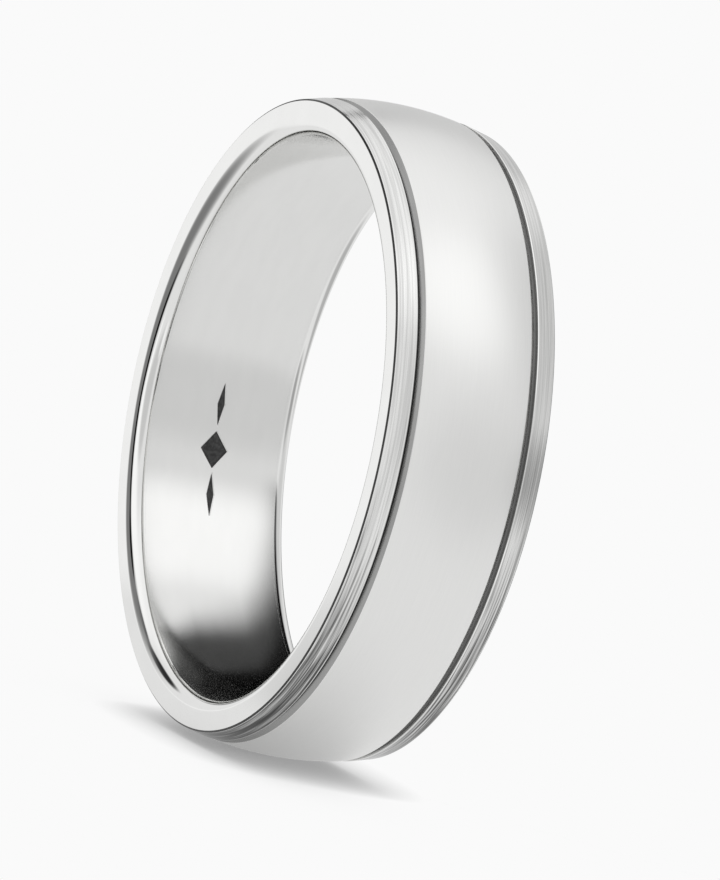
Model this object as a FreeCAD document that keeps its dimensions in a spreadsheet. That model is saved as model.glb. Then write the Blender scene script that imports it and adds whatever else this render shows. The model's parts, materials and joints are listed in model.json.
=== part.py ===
import FreeCAD, Part
import Sketcher
import os
import sys

# Wedding band with a domed satin centre between two polished, stepped edges, built the way an
# assembled band is: a comfort-fit sleeve carries a centre band and two edge rings.  The edge
# rings are rebated over the ends of the sleeve and butt against the shoulders of the centre
# band.  Each shoulder is the floor of the narrow groove between the dome and an edge ring.
#
# Frame: origin at the centre of the finger hole, +Y along the ring's axis, +Z up, so the band
# stands on its edge.  "Axial" is the distance along +Y from the middle plane of the band, and
# "radial" is the distance from the axis.  Lengths are in millimetres and angles in degrees.

DRIVING_DIMENSIONS = {
    # whole band
    "band_width": 6.0,
    "crown_radius": 11.41,
    # comfort-fit sleeve
    "bore_radius": 9.8,
    "land_width": 2.0,
    "comfort_radius": 30.0,
    "sleeve_width": 4.9,
    "seat_radius": 10.4,
    # centre band
    "dome_edge_radius": 11.22,
    "dome_width": 3.97,
    "groove_floor_radius": 11.03,
    "groove_chamfer": 0.18,
    "centre_width": 4.53,
    # edge rings
    "rim_radius": 11.0,
    "rail_radius": 11.18,
    "rim_chamfer": 0.05,
    "rail_chamfer": 0.03,
    "lip_fillet": 0.5,
    # engraved ornament inside the sleeve
    "engraving_depth": 0.04,
    "engraving_angle": 195.0,
    "lozenge_length": 1.3,
    "lozenge_width": 1.0,
    "dart_length": 1.5,
    "dart_width": 0.26,
    "ornament_gap": 0.2,
}

# Radial height of the comfort curve at an axial distance from the middle plane: the curve is an
# arc that leaves the cylindrical land without a corner and opens towards the rim.
COMFORT_CURVE = (
    "dims.bore_radius + dims.comfort_radius"
    " - sqrt(dims.comfort_radius^2 - ({axial} - dims.land_width / 2)^2)"
)
SLEEVE_END = "dims.sleeve_width / 2"
RIM_FACE = "dims.band_width / 2"
CURVE_AT_SLEEVE_END = COMFORT_CURVE.format(axial=SLEEVE_END)
CURVE_AT_RIM_FACE = COMFORT_CURVE.format(axial=RIM_FACE)

# The dome is one arc through both of its edges and the crown.
DOME_RISE = "(dims.crown_radius - dims.dome_edge_radius)"
DOME_ARC_RADIUS = f"((dims.dome_width / 2)^2 + {DOME_RISE}^2) / (2 * {DOME_RISE})"

TOLERANCE = 1e-4


def make_sheet(doc):
    """The spreadsheet of driving dimensions: a name in column A and an aliased number in B."""
    sheet = doc.addObject("Spreadsheet::Sheet", "dims")
    for row, (name, value) in enumerate(DRIVING_DIMENSIONS.items(), start=1):
        sheet.set(f"A{row}", name)
        sheet.set(f"B{row}", str(value))
        sheet.setAlias(f"B{row}", name)
    doc.recompute()
    return sheet


def negative(expression):
    return f"-({expression})"


def origin_plane(body, role):
    return next(f for f in body.Origin.OriginFeatures if f.Role == role)


def end_on(sketch, edge, point):
    """Which end of a sketch edge, 1 for its start or 2 for its end, lies on a point."""
    start = sketch.Geometry[edge].StartPoint
    return 1 if start.distanceToPoint(point) < TOLERANCE else 2


def draw_outline(sketch, sheet, name, corners, arcs=None):
    """A closed outline with every corner bound to the sheet.

    corners holds (x expression, y expression) pairs in order round the outline.  arcs maps the
    number of an edge, which runs from that corner to the next, to its radius expression and the
    side it bulges to: 1 away from the sketch's x axis, -1 towards it."""
    arcs = arcs or {}
    points = [
        FreeCAD.Vector(sheet.evalExpression(x), sheet.evalExpression(y), 0) for x, y in corners
    ]
    first = sketch.GeometryCount
    for i, start in enumerate(points):
        end = points[(i + 1) % len(points)]
        if i in arcs:
            radius_expression, side = arcs[i]
            radius = sheet.evalExpression(radius_expression)
            half_chord = (end - start).Length / 2
            rise = radius - (radius**2 - half_chord**2) ** 0.5
            across = (end - start).cross(FreeCAD.Vector(0, 0, 1)).normalize()
            outward = across if across.y * side > 0 else across.negative()
            middle = (start + end) * 0.5 + outward * rise
            sketch.addGeometry(Part.Arc(start, middle, end))
        else:
            sketch.addGeometry(Part.LineSegment(start, end))
    for i, corner in enumerate(points):
        edge, before = first + i, first + (i - 1) % len(points)
        here = end_on(sketch, edge, corner)
        there = end_on(sketch, before, corner)
        sketch.addConstraint(Sketcher.Constraint("Coincident", before, there, edge, here))
        for kind, expression, value in (
            ("DistanceX", corners[i][0], corner.x),
            ("DistanceY", corners[i][1], corner.y),
        ):
            number = sketch.addConstraint(Sketcher.Constraint(kind, -1, 1, edge, here, value))
            label = f"{name}{i}_{kind[-1].lower()}"
            sketch.renameConstraint(number, label)
            sketch.setExpression(f"Constraints.{label}", expression)
    for i, (radius_expression, _) in arcs.items():
        radius = sheet.evalExpression(radius_expression)
        number = sketch.addConstraint(Sketcher.Constraint("Radius", first + i, radius))
        label = f"{name}{i}_radius"
        sketch.renameConstraint(number, label)
        sketch.setExpression(f"Constraints.{label}", radius_expression)


def turned_body(doc, sheet, label, corners, arcs=None):
    """A body turned about the ring's axis from one outline of (axial, radial) corners."""
    body = doc.addObject("PartDesign::Body", label)
    sketch = body.newObject("Sketcher::SketchObject", f"{label}_outline")
    sketch.AttachmentSupport = (origin_plane(body, "YZ_Plane"), [""])
    sketch.MapMode = "FlatFace"
    draw_outline(sketch, sheet, "corner", corners, arcs)
    doc.recompute()
    turned = body.newObject("PartDesign::Revolution", f"{label}_turned")
    turned.Profile = sketch
    turned.ReferenceAxis = (sketch, ["H_Axis"])
    turned.Angle = 360
    doc.recompute()
    return body


def circles_at(feature, axial, radial):
    """Names of the circular edges of a feature that lie at an axial place and have a radius."""
    names = []
    for number, edge in enumerate(feature.Shape.Edges, start=1):
        if not isinstance(edge.Curve, Part.Circle):
            continue
        off = abs(edge.Curve.Center.y - axial) + abs(edge.Curve.Radius - radial)
        if off < TOLERANCE:
            names.append(f"Edge{number}")
    return names


def dress_edge(doc, body, kind, label, size_name, circle):
    """Fillets or chamfers one circular edge of a turned body."""
    before = body.Tip
    volume = before.Shape.Volume
    feature = body.newObject(f"PartDesign::{kind}", label)
    feature.Base = (before, circles_at(before, *circle))
    feature.setExpression("Radius" if kind == "Fillet" else "Size", f"dims.{size_name}")
    doc.recompute()
    if not feature.Shape.Volume < volume - TOLERANCE:
        sys.exit(f"{label} removed nothing")
    return feature


def comfort_sleeve(doc, sheet):
    """The lining that touches the finger, with a cylindrical land and a comfort curve each side."""
    land_end = "dims.land_width / 2"
    corners = [
        (negative(land_end), "dims.bore_radius"),
        (land_end, "dims.bore_radius"),
        (SLEEVE_END, CURVE_AT_SLEEVE_END),
        (SLEEVE_END, "dims.seat_radius"),
        (negative(SLEEVE_END), "dims.seat_radius"),
        (negative(SLEEVE_END), CURVE_AT_SLEEVE_END),
    ]
    arcs = {1: ("dims.comfort_radius", -1), 5: ("dims.comfort_radius", -1)}
    return turned_body(doc, sheet, "sleeve_blank", corners, arcs)


def centre_band(doc, sheet):
    """The domed middle, with a chamfer and a shoulder at each side."""
    dome_edge = "dims.dome_width / 2"
    shoulder = "dims.dome_width / 2 + dims.groove_chamfer"
    side = "dims.centre_width / 2"
    corners = [
        (negative(side), "dims.seat_radius"),
        (side, "dims.seat_radius"),
        (side, "dims.groove_floor_radius"),
        (shoulder, "dims.groove_floor_radius"),
        (dome_edge, "dims.dome_edge_radius"),
        (negative(dome_edge), "dims.dome_edge_radius"),
        (negative(shoulder), "dims.groove_floor_radius"),
        (negative(side), "dims.groove_floor_radius"),
    ]
    return turned_body(doc, sheet, "centre_band", corners, {4: (DOME_ARC_RADIUS, 1)})


def edge_ring(doc, sheet, label):
    """A polished edge on the +Y side, rebated over the sleeve's end, with a comfort-fit lip."""
    inner_side = "dims.centre_width / 2"
    corners = [
        (inner_side, "dims.seat_radius"),
        (SLEEVE_END, "dims.seat_radius"),
        (SLEEVE_END, CURVE_AT_SLEEVE_END),
        (RIM_FACE, CURVE_AT_RIM_FACE),
        (RIM_FACE, "dims.rim_radius"),
        (inner_side, "dims.rail_radius"),
    ]
    body = turned_body(doc, sheet, label, corners, {2: ("dims.comfort_radius", -1)})
    face = sheet.evalExpression(RIM_FACE)
    lip = (face, sheet.evalExpression(CURVE_AT_RIM_FACE))
    dress_edge(doc, body, "Fillet", f"{label}_lip", "lip_fillet", lip)
    dress_edge(doc, body, "Chamfer", f"{label}_rim", "rim_chamfer", (face, sheet.rim_radius))
    groove_edge = (sheet.evalExpression(inner_side), sheet.rail_radius)
    dress_edge(doc, body, "Chamfer", f"{label}_rail", "rail_chamfer", groove_edge)
    return body


def lozenge(centre, length, width):
    """Corners of a lozenge in the tangent plane: x along the ring's axis, y round the ring."""
    return [
        ("0", f"{centre} - {length} / 2"),
        (f"{width} / 2", centre),
        ("0", f"{centre} + {length} / 2"),
        (f"-{width} / 2", centre),
    ]


def engraving_tool(doc, sheet):
    """A row of one lozenge and two slim darts, as deep as the engraving, to cut from the bore."""
    sketch = doc.addObject("Sketcher::SketchObject", "ornament_outline")
    sketch.Placement = FreeCAD.Placement(
        FreeCAD.Vector(), FreeCAD.Rotation(FreeCAD.Vector(1, 1, 1), 120)
    )
    reach = "(dims.lozenge_length / 2 + dims.ornament_gap + dims.dart_length / 2)"
    pieces = {
        "lozenge": ("0", "dims.lozenge_length", "dims.lozenge_width"),
        "dart_above": (reach, "dims.dart_length", "dims.dart_width"),
        "dart_below": (negative(reach), "dims.dart_length", "dims.dart_width"),
    }
    for name, (centre, length, width) in pieces.items():
        draw_outline(sketch, sheet, name, lozenge(centre, length, width))
    prism = doc.addObject("Part::Extrusion", "ornament_prism")
    prism.Base = sketch
    prism.DirMode = "Custom"
    prism.Dir = FreeCAD.Vector(1, 0, 0)
    prism.setExpression("LengthFwd", "dims.seat_radius")
    prism.Solid = True
    limit = doc.addObject("Part::Cylinder", "ornament_depth")
    limit.setExpression("Radius", "dims.bore_radius + dims.engraving_depth")
    limit.setExpression("Height", "dims.land_width")
    limit.Placement = FreeCAD.Placement(
        FreeCAD.Vector(0, sheet.land_width / 2, 0),
        FreeCAD.Rotation(FreeCAD.Vector(1, 0, 0), 90),
    )
    tool = doc.addObject("Part::Common", "ornament_tool")
    tool.Base = prism
    tool.Tool = limit
    doc.recompute()
    # A turn from +X towards +Z is a negative turn about +Y.
    tool.Placement = FreeCAD.Placement(
        FreeCAD.Vector(), FreeCAD.Rotation(FreeCAD.Vector(0, 1, 0), -sheet.engraving_angle)
    )
    return tool


def engraved_sleeve(doc, sheet):
    sleeve = doc.addObject("Part::Cut", "comfort_sleeve")
    sleeve.Base = comfort_sleeve(doc, sheet)
    sleeve.Tool = engraving_tool(doc, sheet)
    doc.recompute()
    if not sleeve.Shape.Volume < sleeve.Base.Shape.Volume - TOLERANCE:
        sys.exit("the engraving removed nothing")
    return sleeve


def check(doc, parts):
    """Stops the script if any object failed or any sub-part is empty, broken or in pieces."""
    for obj in doc.Objects:
        if {"Invalid", "Error"} & set(obj.State):
            sys.exit(f"{obj.Name} failed: {obj.State}")
    for part in parts:
        shape = part.Shape
        if shape.isNull() or not shape.isValid() or len(shape.Solids) != 1:
            sys.exit(f"{part.Label} isn't one sound solid")
    for i, one in enumerate(parts):
        for other in parts[i + 1 :]:
            shared = one.Shape.common(other.Shape).Volume
            if shared > TOLERANCE:
                sys.exit(f"{one.Label} and {other.Label} overlap by {shared:.4f} mm3")


def main():
    doc = FreeCAD.newDocument("wedding_band")
    sheet = make_sheet(doc)
    back = edge_ring(doc, sheet, "back_edge_ring")
    front = edge_ring(doc, sheet, "front_edge_ring")
    half_turn = FreeCAD.Rotation(FreeCAD.Vector(0, 0, 1), 180)
    front.Placement = FreeCAD.Placement(FreeCAD.Vector(), half_turn)
    parts = [engraved_sleeve(doc, sheet), centre_band(doc, sheet), front, back]
    for part in parts:
        part.Label = part.Name
    doc.recompute()
    check(doc, parts)
    os.makedirs("parts", exist_ok=True)
    for part in parts:
        part.Shape.exportStep(f"parts/{part.Label}.step")
        print(part.Label, f"{part.Shape.Volume:.3f} mm3")


main()
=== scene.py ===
import json
import math

import bpy
import numpy as np
from mathutils import Matrix, Vector


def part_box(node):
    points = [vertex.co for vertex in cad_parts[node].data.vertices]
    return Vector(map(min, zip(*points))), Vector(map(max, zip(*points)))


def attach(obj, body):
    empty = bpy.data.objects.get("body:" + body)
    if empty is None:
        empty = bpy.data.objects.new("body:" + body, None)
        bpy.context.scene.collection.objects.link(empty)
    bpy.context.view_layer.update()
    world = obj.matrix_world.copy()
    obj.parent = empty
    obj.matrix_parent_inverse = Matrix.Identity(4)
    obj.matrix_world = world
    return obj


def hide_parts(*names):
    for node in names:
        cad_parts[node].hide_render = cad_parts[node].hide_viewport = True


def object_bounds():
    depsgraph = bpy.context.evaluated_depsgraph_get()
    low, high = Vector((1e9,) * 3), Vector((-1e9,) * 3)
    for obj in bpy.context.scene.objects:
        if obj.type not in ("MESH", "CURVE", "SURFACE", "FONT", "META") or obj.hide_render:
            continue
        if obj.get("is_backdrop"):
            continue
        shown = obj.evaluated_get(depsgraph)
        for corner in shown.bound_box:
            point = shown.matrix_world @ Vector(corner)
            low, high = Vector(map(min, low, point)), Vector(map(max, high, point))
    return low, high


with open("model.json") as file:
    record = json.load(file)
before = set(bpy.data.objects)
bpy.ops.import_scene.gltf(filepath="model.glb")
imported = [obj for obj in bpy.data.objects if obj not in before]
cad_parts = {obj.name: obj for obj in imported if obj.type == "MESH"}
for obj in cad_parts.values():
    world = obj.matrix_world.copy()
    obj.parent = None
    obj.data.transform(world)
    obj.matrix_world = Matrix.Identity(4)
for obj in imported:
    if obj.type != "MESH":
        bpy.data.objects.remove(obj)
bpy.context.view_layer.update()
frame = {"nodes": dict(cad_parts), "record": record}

# Wedding band, standing on its edge: a satin dome between two polished, stepped edges, on a
# mirror-polished sleeve.  The CAD gives the sizes; this script turns each ring again as a fine
# mesh with softened corners, and gives it its finish.  "Axial" is the place along +Y from the
# middle of the band and "radial" the distance from its axis, both in metres.

MM = 0.001
SAME = 0.0005 * MM

# Softened corners.  A rounding takes no more than its share of the straight stretch beside it.
SEAM_ROUNDING = 0.002 * MM
EDGE_ROUNDING = 0.04 * MM
GROOVE_ROUNDING = 0.015 * MM
GROOVE_EDGE_ROUNDING = 0.08 * MM
ROUNDING_STEPS = 8
ROUNDING_SHARE = 0.46

# Fineness of the meshes.
STEPS_AROUND = 540
ARC_STEP = 0.04 * MM
LIP_STEP = ARC_STEP / 2
COMFORT_STEP = ARC_STEP / 4
RAIL_STEP = 0.008 * MM
ORNAMENT_STEP = 0.016 * MM

# Turning ridges on the rails: two waves, of which the finer is given as shares of the coarser.
# They fade out over an eighth of the rail at each side.
TURNING_PITCH = 0.083 * MM
TURNING_HEIGHT = 0.0004 * MM
FINER_PITCH = 0.61
FINER_HEIGHT = 0.6
FINER_PHASE = 1
TURNING_FADE = 8

# The engraving: the run of its sloping wall, and the least gap between two of its lozenges.
ORNAMENT_WALL = 0.03 * MM
ORNAMENT_GAP = 0.15 * MM

# Camera: a long lens at the photograph's angle, in degrees.  The band's centre sits a little off
# the lens's axis.
CAMERA_AZIMUTH = 65.718
CAMERA_ELEVATION = 6.0
CAMERA_ROLL = 13.16
CAMERA_DISTANCE = 502.64 * MM
CENTRE_RIGHT = -0.934 * MM
CENTRE_UP = 0.357 * MM
LENS_MM = 731.55
SENSOR_MM = 36.0

# Brightness of the studio round the band: soft-edged patches laid over the base level in this
# order, as (azimuth, elevation, inner angle, outer angle, stretch, level), in degrees.  Azimuth 0
# is -Y and 90 is +X, and a stretch of 2 makes a patch twice as tall.  Patches below the horizon lie
# on the floor.
STUDIO_BASE = 0.86
STUDIO_PATCHES = {
    "ceiling": (0, 90, 20, 50, 1, 1.0),
    "front_softbox": (0, 34, 18, 44, 1, 1.08),
    "camera_side": (50, 3, 15, 29, 1, 0.64),
    "floor_glint": (62, -18, 4, 11, 1, 1.0),
    "right_softbox": (124, 56, 10, 27, 1, 1.2),
    "right_wall": (114, 2, 9, 24, 1, 0.74),
    "right_corner": (150, -2, 6, 20, 1, 0.4),
    "back_wall": (172, 30, 14, 36, 1, 0.68),
    "back_floor": (-162, -18, 8, 20, 1, 0.5),
    "back_left_wall": (-125, 12, 10, 26, 1, 0.64),
    "left_flag": (-96, 2, 6, 12, 2.5, 0.05),
    "upper_left_flag": (-55, 27, 7, 14, 1, 0.03),
    "upper_front_flag": (-34, 29, 5, 11, 1, 0.0),
    "front_shade": (-28, 0, 13, 34, 1.5, 0.22),
    "front_flag": (-10, 0, 5, 10, 3, 0.0),
    "front_flag_top": (-17, 22, 5, 10, 1, 0.0),
    "front_strip": (14, 0, 4, 8, 3, 1.08),
    "rim_reflector": (-66, -7, 4, 11, 1, 0.98),
}
BACKDROP_LEVEL = 0.956

# The floor, and the band's shadow on it: a wide soft one that falls opposite to its lean, a small
# one at the contact, and the wide one as reflections see it.
FLOOR_HALF_SIZE = 3.0
SHADOW_REACH = 11 * MM
SHADOW_LEAN = (-0.2, 0.8, 1)
SHADOW_POWER = 4.2
CONTACT_REACH = 2 * MM
CONTACT_SHADE = 0.65
REFLECTED_POWER = 2.0
REFLECTED_SHADE = 0.7

# A dark card stands behind the band, and only the polished metal sees it: black up to one height
# and dark grey from the next.  It shows to reflections that climb steeply out of the bottom of the
# bore, and low down on its left the climb has some help.  It ends along a slope that falls to the
# right, and its foot fades out above the floor, except on the left.  A second reflection sees it
# raised, and so reaching further to the right as well.
CARD_PLANE = 11 * MM
CARD_LEFT = -45 * MM
CARD_RIGHT = 25 * MM
CARD_HIGH = 40 * MM
CARD_BLACK_TO = 7.5 * MM
CARD_GREY_FROM = 10 * MM
CARD_GREY_LEVEL = 0.06
CARD_CLIMB = (0.42, 0.54)
CARD_CLIMB_HELP = 0.5
CARD_SLOPE = 0.9
CARD_FADES_FROM = 1.5 * MM
CARD_CLEAR_FROM = 12.5 * MM
CARD_FOOT = 4 * MM
CARD_LEFT_PART = (-17 * MM, -11 * MM)
CARD_RAISED = 8 * MM

# Finishes.  NOISE_RANGE is where the grain's values mostly lie.
NOISE_RANGE = (0.3, 0.7)

# Painted shade on the rails' undersides: it clears as the normal's upward part, plus the grain
# times its weight, rises through the range.
MARK_WEIGHT = 2.6
UNDERSIDE_RANGE = (0.25, 1.3)
UNDERSIDE_TONE = 0.1

# Painted shade in the grooves, as tones (front, back), and the heights above the floor between
# which the floor's tone gives way to the sides'.
GROOVE_FLOOR_SHADES = (0.03, 0.2)
GROOVE_SIDE_SHADES = (0.45, 0.9)
GROOVE_FLOOR_TO = 0.004 * MM
GROOVE_SIDE_FROM = 0.016 * MM

# Up to the first of these axial places everything counts as the front, and from the second as the
# back.
FRONT, BACK = -1 * MM, 1 * MM

# Soot in the engraving: the depth, as a share, over which it sets in, and its tones.
SOOT_EDGE = (0.25, 0.6)
SOOT_TONES = (0.012, 0.05)
SOOT_ROUGHNESS = 0.55
SOOT_GRAIN = 9000

# The order of an edge ring's finishes.
RIM, RAIL, CUT_LINE, GROOVE, BORE = range(5)


# ---------------------------------------------------------------- sizes, measured on the frame


def circles(node):
    """The (axial, radial) of every circle of vertices on the +Y half of a turned CAD node."""
    points = (v.co for v in frame["nodes"][node].data.vertices)
    return {(round(p.y, 8), round(math.hypot(p.x, p.z), 8)) for p in points if p.y > -SAME}


def radii_at(places, axial):
    return sorted(radial for y, radial in places if abs(y - axial) < SAME)


def sleeve_sizes():
    bore = next(m for m in frame["record"]["mounts"] if m["kind"] == "bore")["dims"]
    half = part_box("comfort_sleeve")[1].y
    ends = radii_at(circles("comfort_sleeve"), half)
    land = bore["length_mm"] * MM / 2
    radius = bore["r_mm"] * MM
    rise = ends[0] - radius
    comfort = ((half - land) ** 2 + rise**2) / (2 * rise)
    return {"half": half, "land": land, "bore": radius, "seat": ends[-1], "comfort": comfort}


def band_sizes():
    places = circles("centre_band")
    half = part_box("centre_band")[1].y
    floor = radii_at(places, half)[-1]
    edge = max(y for y, radial in places if radial > floor + SAME)
    shoulder = min(y for y, radial in places if abs(radial - floor) < SAME)
    crown = max(radial for _, radial in places)
    return {
        "half": half, "floor": floor, "shoulder": shoulder, "crown": crown,
        "edge": edge, "edge_radius": radii_at(places, edge)[-1],
    }


def edge_sizes():
    places = circles("back_edge_ring")
    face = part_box("back_edge_ring")[1].y
    outside = sorted(p for p in places if p[1] > SLEEVE["seat"] + SAME)
    return {"face": face, "lip": radii_at(places, face)[0], "outside": outside}


SLEEVE = sleeve_sizes()
BAND = band_sizes()
EDGE = edge_sizes()


def comfort_radius(axial):
    """Radius of the finger side: a cylindrical land that opens towards each end as one arc."""
    beyond = np.maximum(np.abs(axial) - SLEEVE["land"], 0)
    return SLEEVE["bore"] + SLEEVE["comfort"] - np.sqrt(SLEEVE["comfort"] ** 2 - beyond**2)


# ---------------------------------------------------------------- outlines


def evenly(start, end, step):
    """Values from start to end, no further apart than step."""
    return np.linspace(start, end, max(2, math.ceil(abs(end - start) / step) + 1))


def along(axials, radius_of):
    """Corners on a curve, none of them rounded."""
    return [(y, radius_of(y), 0) for y in axials]


def rounded(corners):
    """A closed outline from (axial, radial, rounding) corners, with each rounding as a curve."""
    outline = []
    for i, (axial, radial, rounding) in enumerate(corners):
        corner = Vector((axial, radial))
        if not rounding:
            outline.append(corner)
            continue
        back = Vector(corners[i - 1][:2]) - corner
        ahead = Vector(corners[(i + 1) % len(corners)][:2]) - corner
        reach = rounding / math.tan(back.angle(ahead) / 2)
        reach = min(reach, ROUNDING_SHARE * back.length, ROUNDING_SHARE * ahead.length)
        start = corner + back.normalized() * reach
        end = corner + ahead.normalized() * reach
        for t in np.linspace(0, 1, ROUNDING_STEPS + 1):
            outline.append(start * (1 - t) ** 2 + corner * 2 * t * (1 - t) + end * t**2)
    return np.array(outline)


def sleeve_outline():
    """From the front end along the finger side to the back end, and back along the seat."""
    half, seat, mouth = SLEEVE["half"], SLEEVE["seat"], comfort_radius(SLEEVE["half"])
    return rounded(
        [(-half, mouth, SEAM_ROUNDING)]
        + along(evenly(-half, half, ORNAMENT_STEP)[1:-1], comfort_radius)
        + [(half, mouth, SEAM_ROUNDING)]
        + [(half, seat, SEAM_ROUNDING), (-half, seat, SEAM_ROUNDING)]
    )


def band_outline():
    """The seat, then the groove floors, chamfers and the dome, which is one arc."""
    half, floor, seat = BAND["half"], BAND["floor"], SLEEVE["seat"]
    edge, edge_radius, shoulder = BAND["edge"], BAND["edge_radius"], BAND["shoulder"]
    rise = BAND["crown"] - edge_radius
    dome = (edge**2 + rise**2) / (2 * rise)

    def dome_radius(axial):
        return BAND["crown"] - dome + math.sqrt(dome**2 - axial**2)

    right = [
        (half, seat, SEAM_ROUNDING),
        (half, floor, SEAM_ROUNDING),
        (shoulder, floor, GROOVE_ROUNDING),
        (edge, edge_radius, GROOVE_EDGE_ROUNDING),
    ]
    left = [(-y, radial, rounding) for y, radial, rounding in reversed(right)]
    return rounded(right + along(evenly(edge, -edge, ARC_STEP)[1:-1], dome_radius) + left)


def lip_arc():
    """The rounded lip, tangent to the comfort curve and to the flat face."""
    reach = EDGE["face"] - SLEEVE["land"]
    depth = SLEEVE["bore"] + SLEEVE["comfort"] - EDGE["lip"]
    radius = (SLEEVE["comfort"] ** 2 - depth**2 - reach**2) / (2 * (SLEEVE["comfort"] - reach))
    centre = EDGE["face"] - radius
    slope = math.atan2(centre - SLEEVE["land"], depth)
    turns = evenly(slope - math.pi / 2, 0, LIP_STEP / radius)
    return [(centre + radius * math.cos(a), EDGE["lip"] + radius * math.sin(a), 0) for a in turns]


def turned_rail(start, end):
    """The sloping rail with the fine ridges that the turning tool leaves round it."""
    corners = []
    for t in evenly(0, 1, RAIL_STEP / (start - end).length)[1:-1]:
        place = start.lerp(end, t)
        fade = min(1, TURNING_FADE * t, TURNING_FADE * (1 - t))
        turn = math.tau * place.x / TURNING_PITCH
        wave = math.sin(turn) + FINER_HEIGHT * math.sin(turn / FINER_PITCH + FINER_PHASE)
        corners.append((place.x, place.y + TURNING_HEIGHT * fade * wave, 0))
    return corners


def edge_outline():
    """Outline of the +Y edge ring: rebate, comfort curve, lip, face, rim and rail."""
    lip = lip_arc()
    groove_low, groove_high, rim_high, rim_low = (Vector(place) for place in EDGE["outside"])
    seat, start = SLEEVE["seat"], SLEEVE["half"]
    curve = evenly(start, lip[0][0], COMFORT_STEP)
    return rounded(
        [
            (BAND["half"], seat, SEAM_ROUNDING),
            (start, seat, SEAM_ROUNDING),
            (start, comfort_radius(start), SEAM_ROUNDING),
        ]
        + along(curve[1:-1], comfort_radius)
        + lip
        + [(*rim_low, EDGE_ROUNDING), (*rim_high, EDGE_ROUNDING)]
        + turned_rail(rim_high, groove_high)
        + [(*groove_high, GROOVE_EDGE_ROUNDING), (*groove_low, SEAM_ROUNDING)]
    )


# ---------------------------------------------------------------- meshes


def grid_normals(points):
    """Vertex normals of a grid closed both ways, weighted by area so that flats stay flat."""
    across = np.roll(points, (-1, -1), (0, 1)) - points
    other = np.roll(points, -1, 1) - np.roll(points, -1, 0)
    faces = np.cross(across, other)
    total = faces + np.roll(faces, 1, 0) + np.roll(faces, 1, 1) + np.roll(faces, (1, 1), (0, 1))
    return total / np.linalg.norm(total, axis=-1, keepdims=True)


def turned_piece(name, outline, around, relief=None):
    """A closed ring: the outline turned about +Y through the angles in around.

    relief(angles, axials) says, from 0 to 1, how far the finger side is sunk to the engraving's
    depth. The mesh keeps it as its attribute "etched"."""
    angles = around[:, None]
    axial = np.broadcast_to(outline[:, 0], (len(around), len(outline)))
    radial = np.broadcast_to(outline[:, 1], axial.shape)
    if relief:
        sunk = np.where(radial < SLEEVE["seat"] - SAME, relief(angles, axial), 0)
        radial = radial + sunk * ORNAMENT["depth"]
    points = np.stack([radial * np.cos(angles), axial, radial * np.sin(angles)], -1)
    corner = np.arange(axial.size).reshape(axial.shape)
    beside, above = np.roll(corner, -1, 0), np.roll(corner, -1, 1)
    quads = np.stack([corner, above, np.roll(beside, -1, 1), beside], -1).reshape(-1, 4)
    normals = -grid_normals(points)
    places, heights = outline.T
    if heights @ np.roll(places, -1) < places @ np.roll(heights, -1):
        quads, normals = quads[:, ::-1], -normals
    mesh = bpy.data.meshes.new(name)
    mesh.from_pydata(points.reshape(-1, 3).tolist(), [], quads.tolist())
    mesh.shade_smooth()
    mesh.normals_split_custom_set_from_vertices(normals.reshape(-1, 3).tolist())
    if relief:
        etched = mesh.attributes.new("etched", "FLOAT", "POINT")
        etched.data.foreach_set("value", sunk.ravel().astype(np.float32))
    piece = bpy.data.objects.new(name, mesh)
    bpy.context.scene.collection.objects.link(piece)
    return piece


def engraved_floor():
    """The (angle, axial, radial) of the CAD's vertices on the floor of the engraving."""
    floor = []
    for vertex in frame["nodes"]["comfort_sleeve"].data.vertices:
        x, axial, z = vertex.co
        radial = math.hypot(x, z)
        if abs(axial) < SLEEVE["land"] and SLEEVE["bore"] + SAME < radial < SLEEVE["seat"] - SAME:
            floor.append((math.atan2(z, x) % math.tau, axial, radial))
    return floor


def ornament_sizes():
    """Place, depth and lozenges of the engraving, measured on the CAD's bore.

    Each lozenge is (middle along the row, half its length, half its width)."""
    floor = engraved_floor()
    angles = sorted(angle for angle, _, _ in floor)
    middle = (angles[0] + angles[-1]) / 2
    depth = max(radial for _, _, radial in floor) - SLEEVE["bore"]
    places = sorted((SLEEVE["bore"] * (angle - middle), abs(axial)) for angle, axial, _ in floor)
    groups = [places[:1]]
    for place in places[1:]:
        before = groups[-1][-1]
        both_tips = max(place[1], before[1]) < SAME
        if both_tips and place[0] - before[0] > ORNAMENT_GAP:
            groups.append([])
        groups[-1].append(place)
    lozenges = []
    for group in groups:
        start, end = group[0][0], group[-1][0]
        lozenges.append(((start + end) / 2, (end - start) / 2, max(width for _, width in group)))
    return {"angle": middle, "depth": depth, "lozenges": lozenges, "reach": places[-1][0]}


ORNAMENT = ornament_sizes()


def engraving(angles, axial):
    """1 inside the ornament's lozenges and 0 outside, with a narrow sloping wall between."""
    place = SLEEVE["bore"] * (angles - ORNAMENT["angle"])
    inside = np.zeros(np.broadcast_shapes(place.shape, axial.shape))
    for middle, length, width in ORNAMENT["lozenges"]:
        beyond = np.abs(place - middle) / length + np.abs(axial) / width - 1
        distance = beyond * length * width / math.hypot(length, width)
        inside = np.maximum(inside, np.clip(0.5 - distance / ORNAMENT_WALL, 0, 1))
    return inside


def angles_around():
    return np.linspace(0, math.tau, STEPS_AROUND, endpoint=False)


def angles_around_ornament():
    """The usual angles, with many more where the ornament is."""
    reach = (ORNAMENT["reach"] + ORNAMENT_WALL) / SLEEVE["bore"]
    fine = ORNAMENT["angle"] + evenly(-reach, reach, ORNAMENT_STEP / SLEEVE["bore"])
    coarse = [a for a in angles_around() if abs(a - ORNAMENT["angle"]) > reach]
    return np.sort(np.concatenate([coarse, fine]))


# ---------------------------------------------------------------- node helpers


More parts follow.
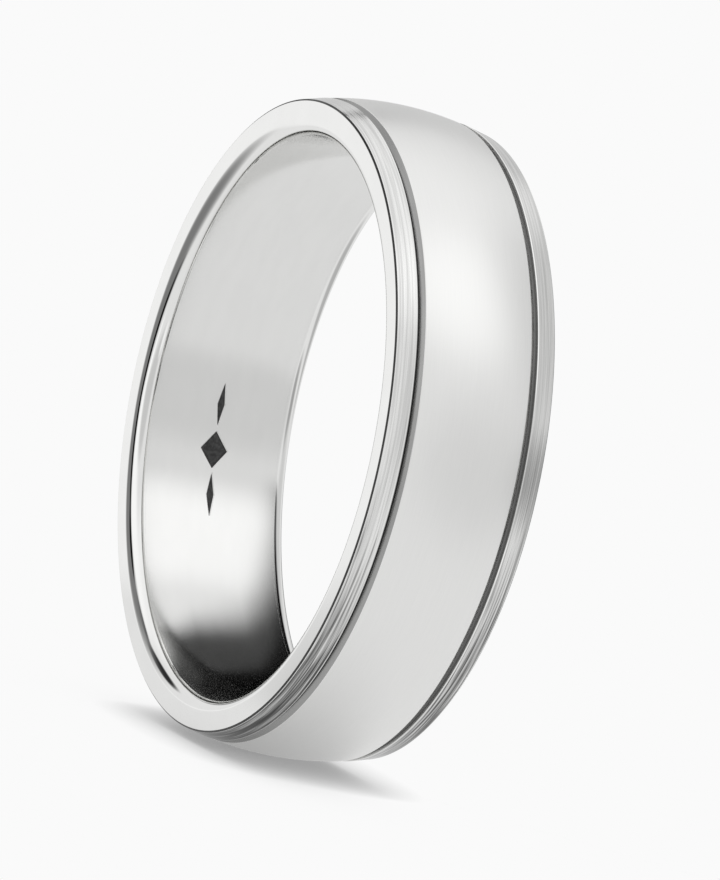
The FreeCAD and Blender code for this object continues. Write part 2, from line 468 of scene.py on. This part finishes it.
def add(tree, kind, inputs=None, **settings):
    """A new node. An input may be a number, a colour or another node's output."""
    node = tree.nodes.new(kind)
    for key, value in settings.items():
        setattr(node, key, value)
    for key, value in (inputs or {}).items():
        if isinstance(value, bpy.types.NodeSocket):
            tree.links.new(value, node.inputs[key])
        else:
            node.inputs[key].default_value = value
    return node


def maths(tree, operation, first, second=0.0):
    return add(tree, "ShaderNodeMath", {0: first, 1: second}, operation=operation).outputs[0]


def ramp(tree, value, low, high, bottom, top):
    """Goes smoothly from bottom to top as value goes from low to high."""
    inputs = {"Value": value, "From Min": low, "From Max": high, "To Min": bottom, "To Max": top}
    return add(tree, "ShaderNodeMapRange", inputs, interpolation_type="SMOOTHSTEP").outputs[0]


def blend(tree, share, first, second):
    """Mixes two numbers."""
    return add(tree, "ShaderNodeMix", {0: share, 2: first, 3: second}).outputs[0]


def grain(tree, along_ring, across_ring, detail):
    """Noise drawn out round the ring: streaks with these frequencies per metre."""
    place = add(tree, "ShaderNodeTexCoord").outputs["Object"]
    scale = {1: (along_ring, across_ring, along_ring)}
    stretched = add(tree, "ShaderNodeVectorMath", {0: place, **scale}, operation="MULTIPLY").outputs[0]
    inputs = {"Vector": stretched, "Scale": 1.0, "Detail": detail, "Roughness": 0.55}
    return add(tree, "ShaderNodeTexNoise", inputs).outputs["Fac"]


def place_of(tree):
    """(axial, radial) of the shaded point."""
    place = add(tree, "ShaderNodeTexCoord").outputs["Object"]
    parts = add(tree, "ShaderNodeSeparateXYZ", {0: place}).outputs
    squares = maths(tree, "ADD", maths(tree, "MULTIPLY", parts[0], parts[0]),
                    maths(tree, "MULTIPLY", parts[2], parts[2]))
    return parts[1], maths(tree, "SQRT", squares)


# ---------------------------------------------------------------- finishes


def metal(name, slot, roughness, height, streaks, anisotropy=0.0, unevenness=0.25, contrast=0.02,
          tone=1.0, shade=None):
    """A metal of its slot's colour, times its tone.

    streaks(tree) drives its brightness, roughness and relief, and shade(tree) darkens it."""
    material = bpy.data.materials.new(name)
    material.use_nodes = True
    tree = material.node_tree
    shader = tree.nodes["Principled BSDF"]
    colour = next(m for m in frame["record"]["materials"] if m["slot"] == slot)["base_color"]
    pattern = streaks(tree)
    share = ramp(tree, pattern, *NOISE_RANGE, tone * (1 - contrast), tone)
    if shade:
        share = maths(tree, "MULTIPLY", share, shade(tree))
    tint = add(tree, "ShaderNodeVectorMath", {0: tuple(colour), 3: share}, operation="SCALE").outputs[0]
    spread = roughness * unevenness
    rough = ramp(tree, pattern, *NOISE_RANGE, roughness - spread, roughness + spread)
    bump = add(tree, "ShaderNodeBump", {"Height": pattern, "Distance": height, "Strength": 1.0})
    round_ring = add(tree, "ShaderNodeTangent", direction_type="RADIAL", axis="Y")
    tree.links.new(tint, shader.inputs["Base Color"])
    tree.links.new(rough, shader.inputs["Roughness"])
    tree.links.new(bump.outputs[0], shader.inputs["Normal"])
    tree.links.new(round_ring.outputs[0], shader.inputs["Tangent"])
    shader.inputs["Metallic"].default_value = 1.0
    shader.inputs["Anisotropic"].default_value = anisotropy
    return material


def polished_rim():
    """Mirror polish with the faint swirls that a buffing wheel leaves."""
    return metal(
        "polished_rim", "polished_edge", roughness=0.05, height=0.00002 * MM,
        streaks=lambda tree: grain(tree, along_ring=900, across_ring=2600, detail=5),
    )


def underside_shade(tree):
    """Painted shade: darker where the surface faces the floor, most of all in the deeper turning marks.
    """
    normal = add(tree, "ShaderNodeNewGeometry").outputs["Normal"]
    upward = add(tree, "ShaderNodeSeparateXYZ", {0: normal}).outputs[2]
    pattern = grain(tree, along_ring=260, across_ring=13000, detail=2)
    marks = maths(tree, "MULTIPLY", pattern, MARK_WEIGHT)
    return ramp(tree, maths(tree, "ADD", upward, marks), *UNDERSIDE_RANGE, UNDERSIDE_TONE, 1.0)


def turned_finish():
    """The rail's turning marks: streaks of uneven length on top of the modelled ridges."""
    return metal(
        "turned_rail", "polished_edge", roughness=0.14, height=0.001 * MM,
        streaks=lambda tree: grain(tree, along_ring=200, across_ring=12000, detail=3),
        # Painted shade on the rails' undersides.
        anisotropy=0.3, contrast=0.25, shade=underside_shade,
    )


def satin_finish():
    """A close, even satin, brushed round the ring."""
    return metal(
        "satin_dome", "satin_dome", roughness=0.3, height=0.00015 * MM,
        streaks=lambda tree: grain(tree, along_ring=700, across_ring=26000, detail=4),
        anisotropy=0.3, unevenness=0.06,
    )


def groove_shade(tree):
    """Painted shade: nearly black on the front groove's floor, less dark on its sides and in the back
    groove.
    """
    axial, radial = place_of(tree)
    on_floor = ramp(tree, axial, FRONT, BACK, *GROOVE_FLOOR_SHADES)
    on_side = ramp(tree, axial, FRONT, BACK, *GROOVE_SIDE_SHADES)
    start, end = BAND["floor"] + GROOVE_FLOOR_TO, BAND["floor"] + GROOVE_SIDE_FROM
    return blend(tree, ramp(tree, radial, start, end, 0.0, 1.0), on_floor, on_side)


def groove_finish():
    """The cut sides of the groove: matt, with painted shade that is darkest on the front groove's
    floor.
    """
    return metal(
        "groove_side", "satin_dome", roughness=0.28, height=0.0004 * MM,
        streaks=lambda tree: grain(tree, along_ring=500, across_ring=14000, detail=3),
        shade=groove_shade,
    )


def cut_line_finish():
    """The fine line cut between rim and rail, painted nearly black as a line of shade."""
    return metal(
        "cut_line", "satin_dome", roughness=0.35, height=0.0002 * MM,
        streaks=lambda tree: grain(tree, along_ring=600, across_ring=9000, detail=3),
        # Painted shade: the cut line is nearly black.
        tone=0.08,
    )


def bore_finish():
    """Mirror polish with a soft haze, and black laser engraving where the mesh is etched."""
    material = metal(
        "polished_bore", "polished_bore", roughness=0.13, height=0.00001 * MM,
        streaks=lambda tree: grain(tree, along_ring=700, across_ring=2000, detail=5),
        unevenness=0.04, tone=0.92,
    )
    tree = material.node_tree
    shader = tree.nodes["Principled BSDF"]
    etched = add(tree, "ShaderNodeAttribute", attribute_name="etched").outputs["Fac"]
    dark = ramp(tree, etched, *SOOT_EDGE, 0.0, 1.0)
    speckle = grain(tree, along_ring=SOOT_GRAIN, across_ring=SOOT_GRAIN, detail=3)
    soot = ramp(tree, speckle, *NOISE_RANGE, *SOOT_TONES)
    colour = shader.inputs["Base Color"].links[0].from_socket
    rough = shader.inputs["Roughness"].links[0].from_socket
    mixed = add(tree, "ShaderNodeMix", {0: dark, 6: colour, 7: soot}, data_type="RGBA").outputs[2]
    tree.links.new(mixed, shader.inputs["Base Color"])
    tree.links.new(blend(tree, dark, rough, SOOT_ROUGHNESS), shader.inputs["Roughness"])
    tree.links.new(maths(tree, "SUBTRACT", 1.0, dark), shader.inputs["Metallic"])
    return material


def paint(piece, materials, chooser=None):
    """Gives the piece its materials. chooser(axial, radial) says which of them each face takes."""
    for material in materials:
        piece.data.materials.append(material)
    if chooser:
        centres = np.zeros(len(piece.data.polygons) * 3)
        piece.data.polygons.foreach_get("center", centres)
        x, axial, z = centres.reshape(-1, 3).T
        picked = chooser(np.abs(axial), np.hypot(x, z)).astype(np.int32)
        piece.data.polygons.foreach_set("material_index", picked)


# ---------------------------------------------------------------- the four pieces


def install(piece, node):
    """The piece stands for its CAD node, which it hides, and rides on the frame."""
    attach(piece, "root")
    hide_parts(node)


def make_sleeve(bore):
    """The comfort-fit sleeve, with the engraving in its finger side."""
    piece = turned_piece("bore_sleeve", sleeve_outline(), angles_around_ornament(), engraving)
    paint(piece, [bore])
    install(piece, "comfort_sleeve")


def make_band(groove):
    """The centre band: satin up to its rounded edges, groove finish beyond them."""
    piece = turned_piece("domed_band", band_outline(), angles_around())
    groove_start = BAND["edge"] + GROOVE_EDGE_ROUNDING / 3
    paint(piece, [satin_finish(), groove], lambda axial, radial: axial > groove_start)
    install(piece, "centre_band")


def make_edge(name, node, side, finishes):
    """An edge ring, at the front for side -1 and at the back for side 1."""
    piece = turned_piece(name, edge_outline() * (side, 1), angles_around())
    (cut_start, _), (_, face_radius) = EDGE["outside"][-2:]
    lip_start = lip_arc()[0][0]
    groove_end = BAND["half"] + GROOVE_ROUNDING / 4
    rail_start = groove_end + GROOVE_EDGE_ROUNDING / 2
    rail_end = cut_start - EDGE_ROUNDING / 2

    def finish_at(axial, radial):
        outside = radial > face_radius
        inside = (axial < lip_start) & (radial < SLEEVE["seat"] - SAME)
        rail = outside & (axial > rail_start) & (axial < rail_end)
        cut_line = outside & (axial > cut_start)
        regions = [inside, axial < groove_end, rail, cut_line]
        return np.select(regions, [BORE, GROOVE, RAIL, CUT_LINE], RIM)

    paint(piece, finishes, finish_at)
    install(piece, node)


# ---------------------------------------------------------------- the studio


def unit_direction(azimuth, elevation):
    """Azimuth 0 points along -Y and 90 along +X, in degrees."""
    a, e = math.radians(azimuth), math.radians(elevation)
    return Vector((math.sin(a) * math.cos(e), -math.cos(a) * math.cos(e), math.sin(e)))


def studio_level(tree, direction):
    """Brightness of the studio in a direction."""
    level = STUDIO_BASE
    for azimuth, elevation, inner, outer, stretch, brightness in STUDIO_PATCHES.values():
        squash = {0: direction, 1: (stretch, stretch, 1)}
        squashed = add(tree, "ShaderNodeVectorMath", squash, operation="MULTIPLY").outputs[0]
        unit = add(tree, "ShaderNodeVectorMath", {0: squashed}, operation="NORMALIZE").outputs[0]
        towards = {0: unit, 1: unit_direction(azimuth, elevation)}
        cosine = add(tree, "ShaderNodeVectorMath", towards, operation="DOT_PRODUCT").outputs["Value"]
        inside = ramp(tree, cosine, math.cos(math.radians(outer)), math.cos(math.radians(inner)), 0, 1)
        level = blend(tree, inside, level, brightness)
    return level


def make_studio():
    """Soft light from all round; the camera itself sees plain white."""
    world = bpy.data.worlds.new("studio")
    world.use_nodes = True
    tree = world.node_tree
    level = studio_level(tree, add(tree, "ShaderNodeTexCoord").outputs["Generated"])
    seen = add(tree, "ShaderNodeLightPath").outputs["Is Camera Ray"]
    tree.links.new(blend(tree, seen, level, BACKDROP_LEVEL), tree.nodes["Background"].inputs["Color"])
    bpy.context.scene.world = world
    bpy.context.scene.view_settings.view_transform = "Standard"


def plane(name, corners):
    mesh = bpy.data.meshes.new(name)
    mesh.from_pydata(corners, [], [range(len(corners))])
    sheet = bpy.data.objects.new(name, mesh)
    bpy.context.scene.collection.objects.link(sheet)
    sheet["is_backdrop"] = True
    return sheet


def glow_only(name):
    """A new material without its usual shader: the caller makes the surface."""
    material = bpy.data.materials.new(name)
    material.use_nodes = True
    tree = material.node_tree
    tree.nodes.remove(tree.nodes["Principled BSDF"])
    return material, tree, tree.nodes["Material Output"].inputs["Surface"]


def make_floor():
    """A plain pale floor under the lowest point of the band, darker where the band shades it."""
    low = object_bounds()[0].z
    size = FLOOR_HALF_SIZE
    corners = [(-size, -size, low), (size, -size, low), (size, size, low), (-size, size, low)]
    floor = plane("floor", corners)
    material, tree, surface = glow_only("pale_floor")
    lean = add(tree, "ShaderNodeVectorMath", {0: SHADOW_LEAN}, operation="NORMALIZE").outputs[0]
    reach = {"Distance": SHADOW_REACH, "Normal": lean}
    openness = add(tree, "ShaderNodeAmbientOcclusion", reach).outputs["AO"]
    shade = maths(tree, "SUBTRACT", 1.0, openness)
    near = add(tree, "ShaderNodeAmbientOcclusion", {"Distance": CONTACT_REACH}).outputs["AO"]
    contact = maths(tree, "MULTIPLY", maths(tree, "SUBTRACT", 1.0, near), CONTACT_SHADE)
    seen_shade = maths(tree, "MAXIMUM", maths(tree, "POWER", shade, SHADOW_POWER), contact)
    softer = maths(tree, "POWER", shade, REFLECTED_POWER)
    reflected_shade = maths(tree, "MULTIPLY", softer, REFLECTED_SHADE)
    place = add(tree, "ShaderNodeNewGeometry").outputs["Position"]
    direction = add(tree, "ShaderNodeVectorMath", {0: place}, operation="NORMALIZE").outputs[0]
    seen = add(tree, "ShaderNodeLightPath").outputs["Is Camera Ray"]
    level = blend(tree, seen, studio_level(tree, direction), BACKDROP_LEVEL)
    light = maths(tree, "SUBTRACT", 1.0, blend(tree, seen, reflected_shade, seen_shade))
    shine = add(tree, "ShaderNodeEmission", {"Strength": maths(tree, "MULTIPLY", level, light)})
    tree.links.new(shine.outputs[0], surface)
    floor.data.materials.append(material)


def card_corners():
    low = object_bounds()[0].z
    places = [(CARD_LEFT, low), (CARD_RIGHT, low), (CARD_RIGHT, CARD_HIGH), (CARD_LEFT, CARD_HIGH)]
    return [(x, CARD_PLANE, z) for x, z in places]


def make_card():
    """The dark card, as the comment on its sizes says."""
    card = plane("dark_card", card_corners())
    card.visible_camera = False
    card.visible_diffuse = False
    card.visible_shadow = False
    material, tree, output = glow_only("dark_card")
    geometry = add(tree, "ShaderNodeNewGeometry").outputs
    place = add(tree, "ShaderNodeSeparateXYZ", {0: geometry["Position"]}).outputs
    incoming = add(tree, "ShaderNodeSeparateXYZ", {0: geometry["Incoming"]}).outputs
    bounces = add(tree, "ShaderNodeLightPath").outputs["Glossy Depth"]
    raised = maths(tree, "MULTIPLY", ramp(tree, bounces, 1.0, 2.0, 0.0, 1.0), CARD_RAISED)
    height = maths(tree, "SUBTRACT", place[2], raised)
    sideways = maths(tree, "SUBTRACT", maths(tree, "MULTIPLY", place[0], CARD_SLOPE), raised)
    slanted = maths(tree, "ADD", height, sideways)
    on_left = ramp(tree, place[0], *CARD_LEFT_PART, 1.0, 0.0)
    low_down = ramp(tree, place[2], CARD_FOOT, CARD_GREY_FROM, CARD_CLIMB_HELP, 0.0)
    climb = maths(tree, "SUBTRACT", maths(tree, "MULTIPLY", low_down, on_left), incoming[2])
    cover = maths(tree, "MULTIPLY", ramp(tree, climb, *CARD_CLIMB, 0.0, 1.0),
                  ramp(tree, slanted, CARD_FADES_FROM, CARD_CLEAR_FROM, 1.0, 0.0))
    foot = maths(tree, "MAXIMUM", ramp(tree, place[2], 0.0, CARD_FOOT, 0.0, 1.0), on_left)
    cover = maths(tree, "MULTIPLY", cover, foot)
    glow = ramp(tree, height, CARD_BLACK_TO, CARD_GREY_FROM, 0.0, CARD_GREY_LEVEL)
    shine = add(tree, "ShaderNodeEmission", {"Color": (1, 1, 1, 1), "Strength": glow}).outputs[0]
    clear = add(tree, "ShaderNodeBsdfTransparent").outputs[0]
    mixed = add(tree, "ShaderNodeMixShader", {0: cover, 1: clear, 2: shine}).outputs[0]
    tree.links.new(mixed, output)
    card.data.materials.append(material)


def make_camera():
    """A long lens at the photograph's angle, rolled so that the band leans to the right."""
    backward = unit_direction(CAMERA_AZIMUTH, CAMERA_ELEVATION)
    level_right = Vector((0, 0, 1)).cross(backward).normalized()
    level_up = backward.cross(level_right)
    roll = math.radians(CAMERA_ROLL)
    right = level_right * math.cos(roll) + level_up * math.sin(roll)
    up = backward.cross(right)
    data = bpy.data.cameras.new("camera")
    data.sensor_fit = "HORIZONTAL"
    data.sensor_width = SENSOR_MM
    data.lens = LENS_MM
    camera = bpy.data.objects.new("camera", data)
    turn = Matrix((right, up, backward)).transposed().to_4x4()
    place = backward * CAMERA_DISTANCE - right * CENTRE_RIGHT - up * CENTRE_UP
    camera.matrix_world = Matrix.Translation(place) @ turn
    bpy.context.scene.collection.objects.link(camera)
    bpy.context.scene.camera = camera


def main():
    groove = groove_finish()
    bore = bore_finish()
    edge_finishes = [polished_rim(), turned_finish(), cut_line_finish(), groove, bore]
    make_sleeve(bore)
    make_band(groove)
    make_edge("front_edge", "front_edge_ring", -1, edge_finishes)
    make_edge("back_edge", "back_edge_ring", 1, edge_finishes)
    make_floor()
    make_card()
    make_studio()
    make_camera()


main()
